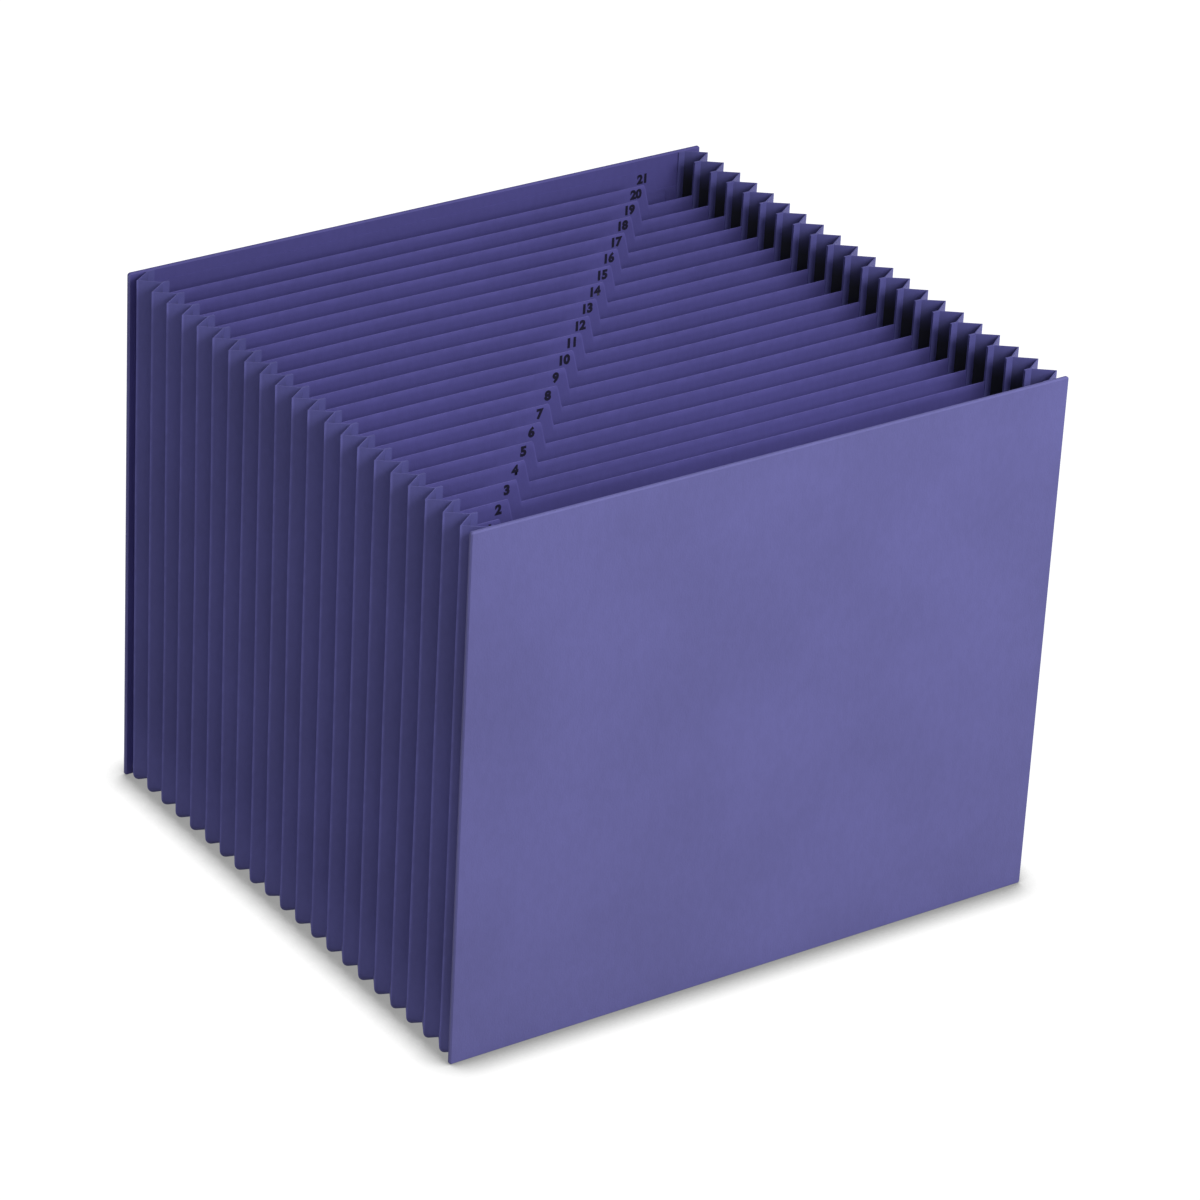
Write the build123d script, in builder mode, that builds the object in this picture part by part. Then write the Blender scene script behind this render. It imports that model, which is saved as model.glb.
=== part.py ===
# An expanding file folder: two covered boards with twenty dividers between them, joined along
# both sides and the bottom by a gusset of folded paper. All lengths are in millimetres.
# +X runs across the folder, +Y from the front cover to the back one, and +Z up. The origin is
# on the surface that the folder stands on, under its middle.
from build123d import *
import os

# The two covers: a board, the paper wrapped round it, and a lining on its inner side
cover_width = 305.0
cover_height = 254.0
cover_corner = 1.2
board_thickness = 1.7
board_edge_chamfer = 0.45
cover_paper = 0.25
turn_in = 18.0
lining_paper = 0.2
lining_margin = 3.0
lining_corner = 2.0

# The pockets and the dividers between them
pocket_count = 21
pocket_gap = 12.8
divider_paper = 0.4
divider_drop = 6.3
divider_corner = 1.5

# The step down in each divider's top edge, right of the place for its index number. The first
# and the last one lie this far in from the dividers' sides
step_height = 11.0
step_run = 3.0
step_corner = 2.5
first_step_margin = 14.8
last_step_margin = 30.9

# The gusset: one fold a pocket, out to the covers' edges, with a glued margin on each wall. Its
# lower corners are creased across, at 45 degrees, by these lengths along the side and the bottom
gusset_paper = 0.35
pleat_depth = 9.0
fold_corner = 4.0
root_corner = 1.5
glue_margin = 3.5
gusset_drop = 0.5
floor_clearance = 0.3

# How far a cutting shape runs past the face that it opens
overrun = 5.0

# How much a chamfer at 45 degrees lengthens for each millimetre that its outline moves outwards
chamfer_growth_share = 2 - 2**0.5

half_width = cover_width / 2
divider_count = pocket_count - 1
cover_thickness = cover_paper + board_thickness + cover_paper + lining_paper
folder_depth = 2 * cover_thickness + pocket_count * pocket_gap + divider_count * divider_paper
divider_half = half_width - pleat_depth
divider_bottom = floor_clearance + pleat_depth
divider_top = cover_height - divider_drop
gusset_top = cover_height - gusset_drop
leaf_width = (pleat_depth**2 + (pocket_gap / 2)**2) ** 0.5
leaf_shift = gusset_paper * leaf_width / (pocket_gap / 2)
step_spacing = (2 * divider_half - first_step_margin - last_step_margin) / (divider_count - 1)


def write(builder, name):
    """Names a finished piece and writes it to its own file."""
    builder.part.label = name
    export_step(builder.part, f"parts/{name}.step")


def pocket_front(number):
    """The place along Y of the front wall of a pocket, counted from one at the front."""
    return -folder_depth / 2 + cover_thickness + (number - 1) * (pocket_gap + divider_paper)


def wall_plane(y):
    """An upright plane across the folder at y, with its own x and y along X and Z."""
    return Plane.XZ.offset(-y)


def slab(y, thickness, half, bottom, top, corner, mode=Mode.ADD):
    """A rounded sheet across the folder, from y to y + thickness, in the part being built."""
    with BuildSketch(wall_plane(y)) as outline:
        with Locations((0, (bottom + top) / 2)):
            RectangleRounded(2 * half, top - bottom, corner)
    extrude(outline.sketch, amount=-thickness, mode=mode)


# The covers. Layers are counted from the outer face, and inward is the way to the pockets:
# 1 for the front cover and -1 for the back one.
def cover_board(outer_y, inward):
    """The stiff greyboard inside a cover, with its edges softened."""
    with BuildPart() as board:
        slab(
            outer_y + inward * cover_paper,
            inward * board_thickness,
            half_width - cover_paper,
            cover_paper,
            cover_height - cover_paper,
            cover_corner - cover_paper,
        )
        rims = board.faces().filter_by(Axis.Y).edges()
        chamfer(rims, length=board_edge_chamfer)
    return board


def cover_sheet(outer_y, inward, board):
    """The paper round a board: the outer face, the wrapped edges and the turned-in margin."""
    wrap_depth = cover_paper + board_thickness + cover_paper
    wrap_growth = cover_paper * chamfer_growth_share
    with BuildPart() as sheet:
        slab(outer_y, inward * wrap_depth, half_width, 0, cover_height, cover_corner)
        rims = sheet.faces().filter_by(Axis.Y).edges()
        chamfer(rims, length=board_edge_chamfer + wrap_growth)
        add(board.part, mode=Mode.SUBTRACT)
        slab(
            outer_y + inward * (wrap_depth - cover_paper),
            inward * (cover_paper + overrun),
            half_width - turn_in,
            turn_in,
            cover_height - turn_in,
            lining_corner,
            mode=Mode.SUBTRACT,
        )
    return sheet


def cover_lining(outer_y, inward):
    """The sheet pasted inside a cover. It rises a little where it goes over the turned-in margin."""
    board_face = outer_y + inward * (cover_paper + board_thickness)
    with BuildPart() as lining:
        slab(
            board_face,
            inward * (cover_paper + lining_paper),
            half_width - lining_margin,
            lining_margin,
            divider_top,
            lining_corner,
        )
        with BuildSketch(wall_plane(board_face)) as under_margin:
            with Locations((0, cover_height / 2)):
                Rectangle(cover_width + overrun, cover_height + overrun)
                RectangleRounded(
                    cover_width - 2 * turn_in,
                    cover_height - 2 * turn_in,
                    lining_corner,
                    mode=Mode.SUBTRACT,
                )
        extrude(under_margin.sketch, amount=-inward * cover_paper, mode=Mode.SUBTRACT)
        slab(
            board_face + inward * lining_paper,
            inward * (cover_paper + overrun),
            half_width - turn_in - lining_paper,
            turn_in + lining_paper,
            cover_height - turn_in - lining_paper,
            lining_corner - lining_paper,
            mode=Mode.SUBTRACT,
        )
        if inward < 0:
            head = step_head(pocket_count)
            low_top = divider_top - step_height
            with BuildSketch(wall_plane(board_face)) as beyond_step:
                with BuildLine():
                    Polyline(
                        (head, divider_top + overrun),
                        (head, divider_top),
                        (head + step_run, low_top),
                        (half_width, low_top),
                        (half_width, divider_top + overrun),
                        close=True,
                    )
                make_face()
            cut_depth = cover_paper + lining_paper + overrun
            extrude(beyond_step.sketch, amount=cut_depth, mode=Mode.SUBTRACT)
    return lining


def step_head(number):
    """Where a top edge starts to step down, along X. The last place is on the back lining."""
    return -divider_half + first_step_margin + (number - 1) * step_spacing


def divider(number):
    """One stiff paper divider. Its top edge steps down a little further along than the last one's."""
    front = pocket_front(number) + pocket_gap
    head = step_head(number)
    low_top = divider_top - step_height
    with BuildPart() as sheet:
        with BuildSketch(wall_plane(front)) as outline:
            with BuildLine():
                Polyline(
                    (-divider_half, divider_bottom),
                    (divider_half, divider_bottom),
                    (divider_half, low_top),
                    (head + step_run, low_top),
                    (head, divider_top),
                    (-divider_half, divider_top),
                    close=True,
                )
            make_face()
            lower_corners, low_ends, high_ends = outline.vertices().group_by(Axis.Y)
            step_foot, right_corner = low_ends.sort_by(Axis.X)
            left_corner, step_top = high_ends.sort_by(Axis.X)
            fillet([left_corner, right_corner], radius=divider_corner)
            fillet([step_foot, step_top], radius=step_corner)
            chamfer(lower_corners, length=root_corner)
        extrude(amount=-divider_paper)
    return sheet


def gusset_outline(y, half, bottom, top, corner):
    """A flat upright face at y, square at its top and creased across its lower corners."""
    with BuildSketch(wall_plane(y)) as outline:
        with Locations((0, bottom)):
            Rectangle(2 * half, top - bottom, align=(Align.CENTER, Align.MIN))
        chamfer(outline.vertices().group_by(Axis.Y)[0], length=corner)
    return outline.sketch


def fold_body(number, inset, top, mode=Mode.ADD):
    """The body inside one fold of the gusset, from wall to wall of its pocket, less an inset."""
    front = pocket_front(number)
    crease = inset * chamfer_growth_share
    root = (divider_half - inset, divider_bottom + inset, top, root_corner - crease)
    fold = (half_width - inset, floor_clearance + inset, top, fold_corner - crease)
    sections = [
        gusset_outline(front, *root),
        gusset_outline(front + pocket_gap / 2, *fold),
        gusset_outline(front + pocket_gap, *root),
    ]
    loft(sections, ruled=True, mode=mode)


def gusset_pleat(number):
    """The fold of the gusset round one pocket, with the margins glued to the pocket's walls."""
    front = pocket_front(number)
    with BuildPart() as pleat:
        fold_body(number, 0, gusset_top)
        fold_body(number, leaf_shift, gusset_top + overrun, mode=Mode.SUBTRACT)
        for wall, way in ((front, 1), (front + pocket_gap, -1)):
            margin = gusset_outline(wall, divider_half, divider_bottom, gusset_top, root_corner)
            inside = gusset_outline(
                wall,
                divider_half - glue_margin,
                divider_bottom + glue_margin,
                gusset_top + overrun,
                root_corner,
            )
            extrude(margin - inside, amount=-way * gusset_paper)
    return pleat


os.makedirs("parts", exist_ok=True)

for side, outer_y, inward in (("front", -folder_depth / 2, 1), ("back", folder_depth / 2, -1)):
    board = cover_board(outer_y, inward)
    write(board, f"{side}_cover_board")
    write(cover_sheet(outer_y, inward, board), f"{side}_cover_sheet")
    write(cover_lining(outer_y, inward), f"{side}_cover_lining")

for number in range(1, divider_count + 1):
    write(divider(number), f"divider_{number:02d}")

for number in range(1, pocket_count + 1):
    write(gusset_pleat(number), f"gusset_pleat_{number:02d}")

print("folder depth", round(folder_depth, 3))
print("leaf width", round(leaf_width, 3), "leaf shift", round(leaf_shift, 3))
print("step spacing", round(step_spacing, 3))
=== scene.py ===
import math

import bpy
import numpy as np
from mathutils import Matrix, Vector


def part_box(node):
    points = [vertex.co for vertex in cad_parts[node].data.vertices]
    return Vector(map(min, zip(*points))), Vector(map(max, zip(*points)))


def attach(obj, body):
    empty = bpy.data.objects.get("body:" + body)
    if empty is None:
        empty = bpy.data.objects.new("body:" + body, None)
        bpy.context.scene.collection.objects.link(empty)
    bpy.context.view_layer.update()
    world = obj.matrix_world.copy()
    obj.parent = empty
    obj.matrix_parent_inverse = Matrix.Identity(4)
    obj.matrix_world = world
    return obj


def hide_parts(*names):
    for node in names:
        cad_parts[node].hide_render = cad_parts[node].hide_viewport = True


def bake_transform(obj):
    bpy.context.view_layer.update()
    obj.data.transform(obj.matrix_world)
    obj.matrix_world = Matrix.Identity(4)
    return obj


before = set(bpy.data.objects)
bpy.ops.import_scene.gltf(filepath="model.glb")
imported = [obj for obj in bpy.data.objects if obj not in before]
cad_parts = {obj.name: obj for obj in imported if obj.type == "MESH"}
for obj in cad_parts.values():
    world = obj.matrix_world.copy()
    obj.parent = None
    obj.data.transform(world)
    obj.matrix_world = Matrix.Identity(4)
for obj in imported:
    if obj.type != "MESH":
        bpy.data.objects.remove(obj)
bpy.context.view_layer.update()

# The cover paper. A sheet of violet paper with a fine pressed grain, wrapped round each board and
# turned in on its inner side, where it shows as a raised rim round the lining.
violet = (0.132, 0.127, 0.356)
paper_sheen = 0.35
mottle_scale = 14
fibre_scale = 380
fibre_stretch = (1, 1, 0.5)
noise_middle = (0.3, 0.7)
# How a lighter band is broken up and how light it gets: rubbed paper, and on the dividers also a
# painted highlight.
wear_and_highlight_scale = 160
wear_and_highlight_middle = (0.35, 0.65)
wear_and_highlight_range = (0.6, 1.0)
wear_and_highlight_gain = 2.2
wear_and_highlight_lift = 0.03
grain_size = 0.0009
grain_depth = 0.0002
grain_fibre_scale = 1400
grain_fibre_stretch = (1, 1, 0.4)


def paper(name, colour, mottle=0.05, grain=0.12, rough=0.62, wear_and_highlight=None, painted_shade=None):
    """A paper finish: broad mottling, long fibres and a pressed grain, all in object space.

    The colour is the base colour times one plus a share of slow noise and of fibre noise. The
    height is a fine cell pattern plus stretched fibre noise. The lighter band, if asked for, holds
    an attribute with a distance, how far it reaches and its strength: the colour is lighter near
    to zero, broken up by noise, for rubbed paper and, on the dividers, for a painted highlight too.
    A second colour, if given, is painted shade, mixed in by an attribute for how deep the place
    lies inside a fold.
    """
    material = bpy.data.materials.new(name)
    material.use_nodes = True
    nodes, links = material.node_tree.nodes, material.node_tree.links
    shader = nodes["Principled BSDF"]
    shader.inputs["Roughness"].default_value = rough
    shader.inputs["Specular IOR Level"].default_value = paper_sheen
    place = nodes.new("ShaderNodeTexCoord").outputs["Object"]

    def noise(scale, detail, stretch=(1, 1, 1)):
        """Noise with about scale waves to a metre, and fewer along an axis stretched by under one."""
        mapping = nodes.new("ShaderNodeMapping")
        mapping.inputs["Scale"].default_value = stretch
        links.new(place, mapping.inputs["Vector"])
        texture = nodes.new("ShaderNodeTexNoise")
        texture.inputs["Scale"].default_value = scale
        texture.inputs["Detail"].default_value = detail
        links.new(mapping.outputs["Vector"], texture.inputs["Vector"])
        return texture.outputs["Fac"]

    def spread(value, low, high, to_low, to_high):
        """A smooth step from to_low, where the value is low, to to_high, where it is high."""
        ranged = nodes.new("ShaderNodeMapRange")
        ranged.interpolation_type = "SMOOTHSTEP"
        sockets = ("From Min", "From Max", "To Min", "To Max")
        for socket, number in zip(sockets, (low, high, to_low, to_high)):
            ranged.inputs[socket].default_value = number
        links.new(value, ranged.inputs["Value"])
        return ranged.outputs["Result"]

    def combine(operation, first, second):
        """The sum or the product of two values."""
        node = nodes.new("ShaderNodeMath")
        node.operation = operation
        links.new(first, node.inputs[0])
        links.new(second, node.inputs[1])
        return node.outputs[0]

    def mix(blend, factor, first, second):
        """The first colour blended toward the second by a factor. Each may be a constant."""
        node = nodes.new("ShaderNodeMix")
        node.data_type = "RGBA"
        node.blend_type = blend
        for socket, value in zip((0, 6, 7), (factor, first, second)):
            if isinstance(value, bpy.types.NodeSocket):
                links.new(value, node.inputs[socket])
            else:
                node.inputs[socket].default_value = value
        return node.outputs[2]

    broad = spread(noise(mottle_scale, 3), *noise_middle, 1 - mottle, 1 + mottle)
    fibres = noise(fibre_scale, 4, fibre_stretch)
    fibre = spread(fibres, *noise_middle, 1 - mottle / 2, 1 + mottle / 2)
    base = (*colour, 1)
    # Painted shade: a second, dark colour mixed in where an attribute says the place lies deep inside
    # a fold.
    if painted_shade:
        inner = nodes.new("ShaderNodeAttribute")
        inner.attribute_name = "painted_shade_share"
        base = mix("MIX", inner.outputs["Fac"], base, (*painted_shade, 1))
    shade = mix("MULTIPLY", 1.0, base, combine("MULTIPLY", broad, fibre))
    # A lighter band near the attribute's zero: rubbed paper, and on the dividers a painted highlight
    # as well.
    if wear_and_highlight:
        attribute_name, reach, strength = wear_and_highlight
        distance = nodes.new("ShaderNodeAttribute")
        distance.attribute_name = attribute_name
        near = spread(distance.outputs["Fac"], 0, reach, strength, 0)
        broken = spread(noise(wear_and_highlight_scale, 4), *wear_and_highlight_middle, *wear_and_highlight_range)
        wear_and_highlight_colour = tuple(min(1, part * wear_and_highlight_gain + wear_and_highlight_lift) for part in colour)
        shade = mix("MIX", combine("MULTIPLY", near, broken), shade, (*wear_and_highlight_colour, 1))
    links.new(shade, shader.inputs["Base Color"])

    cells = nodes.new("ShaderNodeTexVoronoi")
    cells.feature = "SMOOTH_F1"
    cells.inputs["Scale"].default_value = 1 / grain_size
    links.new(place, cells.inputs["Vector"])
    grain_fibres = noise(grain_fibre_scale, 3, grain_fibre_stretch)
    bump = nodes.new("ShaderNodeBump")
    bump.inputs["Strength"].default_value = grain
    bump.inputs["Distance"].default_value = grain_depth
    links.new(combine("ADD", cells.outputs["Distance"], grain_fibres), bump.inputs["Height"])
    links.new(bump.outputs["Normal"], shader.inputs["Normal"])
    return material


def dress(piece, material):
    """Puts one material on a whole piece."""
    piece.data.materials.clear()
    piece.data.materials.append(material)


cover_finish = paper("violet_cover_paper", violet, grain=0.25)
for side in ("front", "back"):
    dress(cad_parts[f"{side}_cover_sheet"], cover_finish)

# The boards and the linings. Each board is plain greyboard, closed in by its paper, and each
# lining is a thinner violet sheet pasted over the board's inner face and the turned-in rim. The
# rim is as dark as the lining, and so is the back cover's top edge.
board_grey = (0.36, 0.34, 0.31)
inner_violet = (0.088, 0.079, 0.293)
rim_facing = 0.9
edge_facing = 0.5
board_finish = paper("greyboard", board_grey, mottle=0.15, grain=0.3, rough=0.8)
lining_finish = paper("violet_lining", inner_violet, grain=0.1)
for side, inward in (("front", 1), ("back", -1)):
    dress(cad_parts[f"{side}_cover_board"], board_finish)
    dress(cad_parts[f"{side}_cover_lining"], lining_finish)
    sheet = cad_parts[f"{side}_cover_sheet"].data
    facing = np.empty(len(sheet.polygons) * 3)
    sheet.polygons.foreach_get("normal", facing)
    sheet.materials.append(lining_finish)
    on_rim = facing[1::3] * inward > rim_facing
    if side == "back":
        on_rim |= facing[2::3] > edge_facing
    sheet.polygons.foreach_set("material_index", on_rim.astype(np.int32))

# The dividers. Stiff violet paper, die-cut so that the top edge steps down just right of the index
# number, each a little further along than the one in front. They are glued in the gusset at their
# sides and lower edge, and bow a little above that.
divider_names = sorted(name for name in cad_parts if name.startswith("divider_"))
divider_count = len(divider_names)
divider_low, divider_high = (np.array(corner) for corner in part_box(divider_names[0]))
divider_half = divider_high[0]
divider_paper = divider_high[1] - divider_low[1]
divider_top = divider_high[2]
divider_bottom = divider_low[2]
step_height = 0.0110
step_run = 0.0022
step_ease = 0.0008
step_spacing = 0.0127
first_step_margin = 0.0148
root_corner = 0.0015
top_corner = 0.0015
plain_columns = 61
step_columns = 25
corner_columns = 4
row_count = 25
row_crowding = 0.8
bow_reach = 0.0010
bow_waves = 0.9
bow_shift = 0.15
warp_reach = 0.0002
warp_waves = 3
warp_rows = 64
side_hold = 1.2
foot_hold = 1.6
random = np.random.default_rng(21)
warps = random.uniform(-1, 1, (warp_rows, warp_waves))


def add_mesh(name, points, faces, smooth=30):
    """A mesh object from an array of points in metres and a list of faces, smooth up to an angle."""
    mesh = bpy.data.meshes.new(name)
    mesh.from_pydata(points.reshape(-1, 3).tolist(), [], faces)
    mesh.update()
    mesh.shade_smooth()
    mesh.set_sharp_from_angle(angle=math.radians(smooth))
    piece = bpy.data.objects.new(name, mesh)
    bpy.context.scene.collection.objects.link(piece)
    return piece


def step_head(number):
    """Where a divider's top edge starts to step down: even spaces from the left side."""
    return first_step_margin - divider_half + (number - 1) * step_spacing


def divider_bow(number, x, z):
    """How far a divider leans out of its plane at x and z.

    All sheets share one slow bow, strongest for the middle ones and none at the covers, and each
    has its own three small waves across. Both grow with the height above the glued bottom edge
    and die out at the glued sides.
    """
    across = np.clip(x / divider_half, -1, 1)
    height = np.clip((z - divider_bottom) / (divider_top - divider_bottom), 0, None)
    hold = (1 - across**2) ** side_hold * height**foot_hold
    share = math.sin(math.pi * number / (divider_count + 1))
    shared = -bow_reach * share * np.sin(math.pi * (across * bow_waves + bow_shift))
    own = sum(
        warp_reach * warps[number, wave] * np.sin((wave + 1) * math.pi * (across + 1) / 2)
        for wave in range(warp_waves)
    )
    return hold * (shared + own)


def divider_mesh(number):
    """One divider: a closed thin sheet on a grid, across by up.

    Each column runs from the creased lower corner's height to the top edge. The top edge is level,
    goes down by the step's height in a smooth S, and is level again, with rounded ends. Front and
    back faces stand half the paper's thickness either side of the bowed middle surface.
    """
    low, high = (np.array(corner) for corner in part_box(f"divider_{number:02d}"))
    middle = (low[1] + high[1]) / 2
    head = step_head(number)
    plain = np.linspace(-divider_half + root_corner, divider_half - root_corner, plain_columns)
    at_step = np.linspace(head - step_ease, head + step_run + step_ease, step_columns)
    at_corner = np.linspace(0, root_corner, corner_columns)
    x = np.concatenate([plain, at_step, -divider_half + at_corner, divider_half - at_corner])
    x = np.unique(np.round(x, 6))
    side = divider_half - np.abs(x)
    fall = np.clip((x - head + step_ease) / (step_run + 2 * step_ease), 0, 1)
    fall = step_height * fall * fall * (3 - 2 * fall)
    in_corner = np.clip(top_corner - side, 0, None)
    easing = top_corner - np.sqrt(np.clip(top_corner**2 - in_corner**2, 0, None))
    top = divider_top - fall - easing
    bottom = divider_bottom + np.clip(root_corner - side, 0, None)
    up_share = np.linspace(0, 1, row_count) ** row_crowding
    z = bottom[None, :] + (top - bottom)[None, :] * up_share[:, None]
    grid_x = np.broadcast_to(x, z.shape)
    bow = middle + divider_bow(number, grid_x, z)
    front = np.stack([grid_x, bow - divider_paper / 2, z], axis=-1)
    rear = np.stack([grid_x, bow + divider_paper / 2, z], axis=-1)
    count = z.size
    index = np.arange(count).reshape(z.shape)
    corners = [index[:-1, :-1], index[:-1, 1:], index[1:, 1:], index[1:, :-1]]
    quads = np.stack(corners, axis=-1).reshape(-1, 4)
    loop = np.concatenate([index[0, :], index[1:, -1], index[-1, -2::-1], index[-2:0:-1, 0]])
    rim = np.stack([np.roll(loop, -1), loop, loop + count, np.roll(loop, -1) + count], axis=-1)
    faces = quads.tolist() + (quads[:, ::-1] + count).tolist() + rim.tolist()
    points = np.concatenate([front.reshape(-1, 3), rear.reshape(-1, 3)])
    piece = add_mesh(f"divider_sheet_{number:02d}", points, faces)
    below = (top[None, :] - z).ravel()
    attribute = piece.data.attributes.new("below_edge", "FLOAT", "POINT")
    attribute.data.foreach_set("value", np.concatenate([below, below]).astype(np.float32))
    return piece


# Each divider is lighter for a few millimetres under its top edge, broken up by noise: partly rubbed
# paper and partly a painted highlight where light catches the top of the sheet.
divider_wear_and_highlight = ("below_edge", 0.0035, 0.22)
divider_finish = paper("violet_divider_card", inner_violet, grain=0.1, wear_and_highlight=divider_wear_and_highlight)
for number in range(1, divider_count + 1):
    sheet = divider_mesh(number)
    dress(sheet, divider_finish)
    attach(sheet, f"divider_{number:02d}")
    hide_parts(f"divider_{number:02d}")

# The index marks. Plain pocket numbers printed in near-black ink under the top edge of each
# divider, at the end of its higher part, and the last one on the back cover's lining.
ink_black = (0.012, 0.010, 0.030)
ink_height = 0.0042
digit_share = 0.7
stroke_share = 0.09
mark_drop = 0.0039
mark_left = 0.0050
ink_lift = 0.00004
ink = paper("printing_ink", ink_black, mottle=0.1, grain=0.05, rough=0.5)


def number_mesh(text, middle, surface):
    """A printed number: flat digits laid on a surface, which gives y for arrays of x and z.

    A digit is the given share of its type size high, and its strokes are made bolder by a share
    of that height on either side.
    """
    curve = bpy.data.curves.new("number", "FONT")
    curve.body = text
    curve.size = ink_height / digit_share
    curve.align_x = "CENTER"
    curve.align_y = "CENTER"
    curve.offset = ink_height * stroke_share
    curve.resolution_u = 3
    flat = bpy.data.objects.new("number", curve)
    bpy.context.scene.collection.objects.link(flat)
    mesh = bpy.data.meshes.new_from_object(flat)
    bpy.data.objects.remove(flat)
    points = np.empty(len(mesh.vertices) * 3)
    mesh.vertices.foreach_get("co", points)
    points = points.reshape(-1, 3)
    x, z = middle[0] + points[:, 0], middle[1] + points[:, 1]
    mesh.vertices.foreach_set("co", np.stack([x, surface(x, z) - ink_lift, z], axis=-1).ravel())
    mesh.update()
    piece = bpy.data.objects.new(f"index_number_{text}", mesh)
    bpy.context.scene.collection.objects.link(piece)
    return piece


for number in range(1, divider_count + 1):
    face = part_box(f"divider_{number:02d}")[0][1]
    place = (step_head(number) - mark_left, divider_top - mark_drop)
    mark = number_mesh(str(number), place, lambda x, z: face + divider_bow(number, x, z))
    dress(mark, ink)
    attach(mark, f"divider_{number:02d}")

lining_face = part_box("back_cover_lining")[0][1]
place = (step_head(divider_count + 1) - mark_left, divider_top - mark_drop)
mark = number_mesh(str(divider_count + 1), place, lambda x, z: lining_face + 0 * x)
dress(mark, ink)
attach(mark, "back_cover")

# The gusset. One long sheet of strong violet paper, creased out and in like bellows, with a fold
# round each pocket. Its margins are glued to the pocket's walls, and its folds wander a little.
pleat_names = sorted(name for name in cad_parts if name.startswith("gusset_pleat_"))
gusset_paper = 0.00035
glue_margin = 0.0035
fold_corner = 0.0045
root_round = 0.0015
root_reach = 0.00018
corner_pull = 0.0075
inner_pull = 0.94
corner_spread = 0.018
wander = 0.00035
wander_waves = 8
one_turn = 6.28
painted_shade_depth = 0.014
side_steps = 80
corner_steps = 8
floor_steps = 96


def slow_noise(count):
    """Smooth random values from -1 to 1: a cosine series of falling size with random phases."""
    t = np.linspace(0, 1, count)
    total = np.zeros(count)
    for wave in range(1, wander_waves + 1):
        size = random.uniform(-1, 1) / wave**0.5
        total += size * np.cos(math.pi * wave * t + random.uniform(0, one_turn))
    return total / np.abs(total).max()


def rim_path(inset, half, bottom, top, corner):
    """Points down the left side, round the lower left corner, across, and up the right side.

    It is the folder's outline moved inwards by inset. Corners are quarter circles of the given
    radius, so paths with different insets have the same number of points, facing the same ways.
    """
    half, bottom = half - inset, bottom + inset
    down = np.linspace(top, bottom + corner, side_steps + 1)[:-1]
    left = np.stack([np.full_like(down, -half), down], axis=-1)
    angle = np.linspace(math.pi, 1.5 * math.pi, corner_steps + 1)
    corner_middle = np.array([-half + corner, bottom + corner])
    round_left = corner_middle + corner * np.stack([np.cos(angle), np.sin(angle)], axis=-1)
    floor = np.linspace(-half + corner, 0, floor_steps // 2 + 1)[1:]
    floor = np.stack([floor, np.full_like(floor, bottom)], axis=-1)
    half_path = np.concatenate([left, round_left, floor])
    mirrored = half_path[-2::-1] * [-1, 1]
    return np.concatenate([half_path, mirrored])


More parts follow.
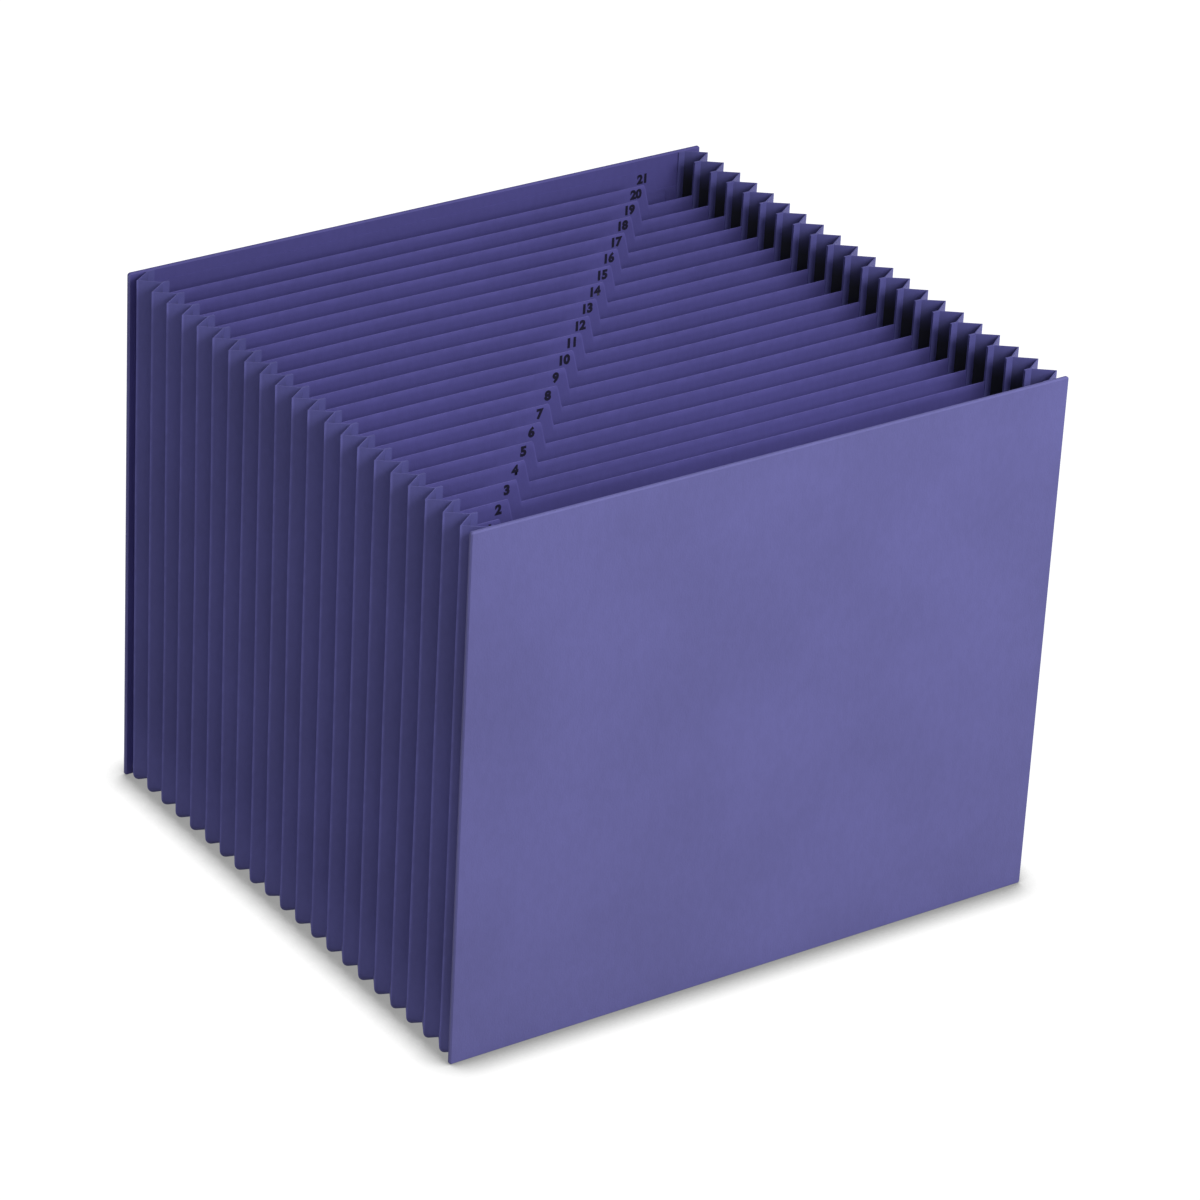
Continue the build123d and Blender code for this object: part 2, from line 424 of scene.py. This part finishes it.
def pleat_mesh(name):
    """One fold of the gusset: a closed sheet carried along the rim path.

    Across the path it is a closed loop of ten points: margin, root, outer fold, root and margin
    on the outer side, and back the same way one paper's thickness inside. The roots reach nearly
    to the middle of the dividers, where the next fold's root meets them. Near the lower corners
    they are pulled out, so the folds are flatter there. The distance from the outer fold is kept
    for its wear, and how deep the inner side of the fold lies is kept for a painted shade, darker
    deeper down.
    """
    low, high = (np.array(corner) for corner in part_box(name))
    front, rear = low[1], high[1]
    middle = (front + rear) / 2
    half, bottom = high[0], low[2]
    top = high[2]
    depth = half - divider_half
    leaf = math.hypot(depth, middle - front)
    shift = gusset_paper * leaf / (middle - front)
    root_shift = shift - gusset_paper * depth / (middle - front)
    fold = rim_path(0, half, bottom, top, fold_corner)
    fold_in = rim_path(shift, half, bottom, top, fold_corner - shift / 2)
    root = rim_path(depth, half, bottom, top, root_round)
    root_in = rim_path(depth + root_shift, half, bottom, top, root_round)
    tip = rim_path(depth + glue_margin, half, bottom, top, root_round)
    from_corner = np.hypot(half - depth - np.abs(root[:, 0]), root[:, 1] - bottom - depth)
    pull = corner_pull * np.exp(-((from_corner / corner_spread) ** 2)) / math.sqrt(2)
    pull = np.stack([np.sign(root[:, 0]) * pull, -pull], axis=-1)
    root, root_in = root + pull, root_in + pull * inner_pull
    count = len(fold)
    outward = fold - rim_path(depth / 2, half, bottom, top, fold_corner / 2)
    outward /= np.linalg.norm(outward, axis=1)[:, None]
    sway = -np.abs(slow_noise(count))[:, None] * wander * outward
    drift = slow_noise(count) * wander

    def ring(path, y):
        """A path across the folder, stood up at y, which may differ from point to point."""
        return np.stack([path[:, 0], np.broadcast_to(y, count), path[:, 1]], axis=-1)

    rings = [
        ring(tip, front),
        ring(root, front - root_reach),
        ring(fold + sway, middle + drift),
        ring(root, rear + root_reach),
        ring(tip, rear),
        ring(tip, rear - gusset_paper),
        ring(root_in, rear - gusset_paper),
        ring(fold_in + sway, middle + drift),
        ring(root_in, front + gusset_paper),
        ring(tip, front + gusset_paper),
    ]
    points = np.stack(rings, axis=1)
    around = len(rings)
    index = np.arange(count * around).reshape(count, around)
    ahead = np.roll(index, -1, axis=1)
    quads = np.stack([index[:-1], ahead[:-1], ahead[1:], index[1:]], axis=-1).reshape(-1, 4)
    # Four small faces close each end of the strip, from its outer points to its inner ones
    caps = [(0, 1, 8, 9), (1, 2, 7, 8), (2, 3, 6, 7), (3, 4, 5, 6)]
    starts = [[int(index[0, k]) for k in cap[::-1]] for cap in caps]
    ends = [[int(index[-1, k]) for k in cap] for cap in caps]
    fold_name = name.replace("gusset_pleat", "gusset_fold")
    piece = add_mesh(fold_name, points, quads.tolist() + starts + ends, smooth=25)
    from_fold = np.full((count, around), leaf)
    from_fold[:, 2] = 0
    attribute = piece.data.attributes.new("from_fold", "FLOAT", "POINT")
    attribute.data.foreach_set("value", from_fold.ravel().astype(np.float32))
    # How much painted shade the inner side of the fold gets: none at the top, all of it 14 mm down.
    deep = np.clip((top - fold[:, 1]) / painted_shade_depth, 0, 1)
    inner = np.zeros((count - 1, around, 4))
    inner[:, 6:8, :2] = deep[:-1, None, None]
    inner[:, 6:8, 2:] = deep[1:, None, None]
    inner = np.concatenate([inner.ravel(), np.zeros(4 * len(starts + ends))])
    attribute = piece.data.attributes.new("painted_shade_share", "FLOAT", "CORNER")
    attribute.data.foreach_set("value", inner.astype(np.float32))
    return piece, front, rear


gusset_violet = (0.105, 0.102, 0.328)
# The near-black second colour is painted shade inside each fold, coming in over 14 mm below the top.
gusset_painted_shade = (0.020, 0.021, 0.035)
gusset_wear = ("from_fold", 0.0014, 0.45)
gusset_finish = paper(
    "violet_gusset_paper", gusset_violet, mottle=0.06, wear_and_highlight=gusset_wear, painted_shade=gusset_painted_shade
)
for number, name in enumerate(pleat_names, start=1):
    fold, front, rear = pleat_mesh(name)
    dress(fold, gusset_finish)
    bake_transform(fold)
    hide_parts(name)

# The view. The folder stands at an angle, seen from its front left corner and from above, by a
# long lens a little over two metres away.
view_azimuth = -35.2
view_elevation = 28.1
view_roll = math.radians(3.1)
view_distance = 2.456
view_offset = (-0.0150, -0.1039)
lens_mm = 161.4


def direction(azimuth, elevation):
    """The unit vector toward a place, from its degrees round from the front and above level."""
    azimuth, elevation = math.radians(azimuth), math.radians(elevation)
    return np.array(
        [
            math.sin(azimuth) * math.cos(elevation),
            -math.cos(azimuth) * math.cos(elevation),
            math.sin(elevation),
        ]
    )


def placed(right, up, back, place):
    """The matrix of an object whose own axes point right, up and back, at a place."""
    matrix = Matrix.Identity(4)
    for column, vector in enumerate((right, up, back, place)):
        for row in range(3):
            matrix[row][column] = vector[row]
    return matrix


back = direction(view_azimuth, view_elevation)
level = np.cross([0, 0, 1], back)
level /= np.linalg.norm(level)
upright = np.cross(back, level)
right = math.cos(view_roll) * level + math.sin(view_roll) * upright
up = math.cos(view_roll) * upright - math.sin(view_roll) * level
place = back * view_distance - right * view_offset[0] - up * view_offset[1]
camera = bpy.data.objects.new("camera", bpy.data.cameras.new("camera"))
camera.data.lens = lens_mm
camera.data.sensor_width = 36
camera.data.clip_end = 20
camera.matrix_world = placed(right, up, back, place)
bpy.context.scene.collection.objects.link(camera)
bpy.context.scene.camera = camera

# The floor. A pale sheet without an edge in view. The camera sees it as plain white, shaded only
# by how much the folder closes it in, which leaves a soft dark line where the folder stands.
floor_size = 12
floor_albedo = 0.38
seen_floor_glow = 1.1
contact_glow = 0.32
contact_reach = 0.018
dark_below = 0.54
clear_above = 0.97
corners = np.array([(-1, -1, 0), (1, -1, 0), (1, 1, 0), (-1, 1, 0)]) * floor_size / 2
floor = add_mesh("studio_floor", corners.astype(float), [(0, 1, 2, 3)])
floor_finish = bpy.data.materials.new("studio_floor")
floor_finish.use_nodes = True
floor_nodes, floor_links = floor_finish.node_tree.nodes, floor_finish.node_tree.links
floor_shader = floor_nodes["Principled BSDF"]
floor_shader.inputs["Roughness"].default_value = 0.9
floor_shader.inputs["Specular IOR Level"].default_value = 0.0
floor_shader.inputs["Emission Color"].default_value = (1, 1, 1, 1)
rays = floor_nodes.new("ShaderNodeLightPath").outputs
seen = rays["Is Camera Ray"]
for kind in ("Is Glossy Ray", "Is Transmission Ray"):
    either = floor_nodes.new("ShaderNodeMath")
    either.operation = "MAXIMUM"
    floor_links.new(seen, either.inputs[0])
    floor_links.new(rays[kind], either.inputs[1])
    seen = either.outputs[0]
floor_colour = floor_nodes.new("ShaderNodeMix")
floor_colour.data_type = "RGBA"
floor_colour.inputs[6].default_value = (*[floor_albedo] * 3, 1)
floor_colour.inputs[7].default_value = (0, 0, 0, 1)
floor_links.new(seen, floor_colour.inputs[0])
floor_links.new(floor_colour.outputs[2], floor_shader.inputs["Base Color"])
contact = floor_nodes.new("ShaderNodeAmbientOcclusion")
contact.samples = 8
contact.inputs["Distance"].default_value = contact_reach
floor_shade = floor_nodes.new("ShaderNodeMapRange")
floor_shade.inputs["From Min"].default_value = dark_below
floor_shade.inputs["From Max"].default_value = clear_above
floor_shade.inputs["To Min"].default_value = contact_glow
floor_shade.inputs["To Max"].default_value = seen_floor_glow
floor_links.new(contact.outputs["AO"], floor_shade.inputs["Value"])
floor_glow = floor_nodes.new("ShaderNodeMath")
floor_glow.operation = "MULTIPLY"
floor_links.new(seen, floor_glow.inputs[0])
floor_links.new(floor_shade.outputs["Result"], floor_glow.inputs[1])
floor_links.new(floor_glow.outputs[0], floor_shader.inputs["Emission Strength"])
floor.data.materials.append(floor_finish)

# The light. A pale sky that is brighter above and toward the front right, and that the camera sees
# as white, with a small key lamp straight in front and a nearer panel to the right of it.
sky_toward = (0.33, -0.50, 0.80)
sky_dimmest = 0.04
sky_brightest = 0.70
aim_height = 0.2
world = bpy.data.worlds.new("studio")
world.use_nodes = True
bpy.context.scene.world = world
sky_nodes, sky_links = world.node_tree.nodes, world.node_tree.links
sky = sky_nodes["Background"]
sky.inputs["Color"].default_value = (1, 1, 1, 1)
toward = sky_nodes.new("ShaderNodeVectorMath")
toward.operation = "DOT_PRODUCT"
toward.inputs[1].default_value = sky_toward
sky_links.new(sky_nodes.new("ShaderNodeTexCoord").outputs["Generated"], toward.inputs[0])
sky_level = sky_nodes.new("ShaderNodeMapRange")
sky_level.inputs["From Min"].default_value = -1
sky_level.inputs["From Max"].default_value = 1
sky_level.inputs["To Min"].default_value = sky_dimmest
sky_level.inputs["To Max"].default_value = sky_brightest
sky_links.new(toward.outputs["Value"], sky_level.inputs["Value"])
sky_seen = sky_nodes.new("ShaderNodeMath")
sky_seen.operation = "MAXIMUM"
sky_links.new(sky_nodes.new("ShaderNodeLightPath").outputs["Is Camera Ray"], sky_seen.inputs[0])
sky_links.new(sky_level.outputs["Result"], sky_seen.inputs[1])
sky_links.new(sky_seen.outputs[0], sky.inputs["Strength"])


def soft_light(name, width, height, watts, azimuth, elevation, distance):
    """A lamp panel aimed at the folder's middle, from an azimuth and an elevation in degrees."""
    away = direction(azimuth, elevation)
    lamp = bpy.data.lights.new(name, "AREA")
    lamp.shape = "RECTANGLE"
    lamp.size, lamp.size_y = width, height
    lamp.energy = watts
    light = bpy.data.objects.new(name, lamp)
    side = np.cross([0, 0, 1], away)
    side /= np.linalg.norm(side)
    spot = away * distance + np.array([0, 0, aim_height])
    light.matrix_world = placed(side, np.cross(away, side), away, spot)
    bpy.context.scene.collection.objects.link(light)


soft_light("key_light", 0.20, 0.30, 4.2, azimuth=0, elevation=37, distance=1.5)
soft_light("near_light", 0.40, 0.30, 3.2, azimuth=22, elevation=30, distance=1.0)

bpy.context.scene.view_settings.view_transform = "Standard"
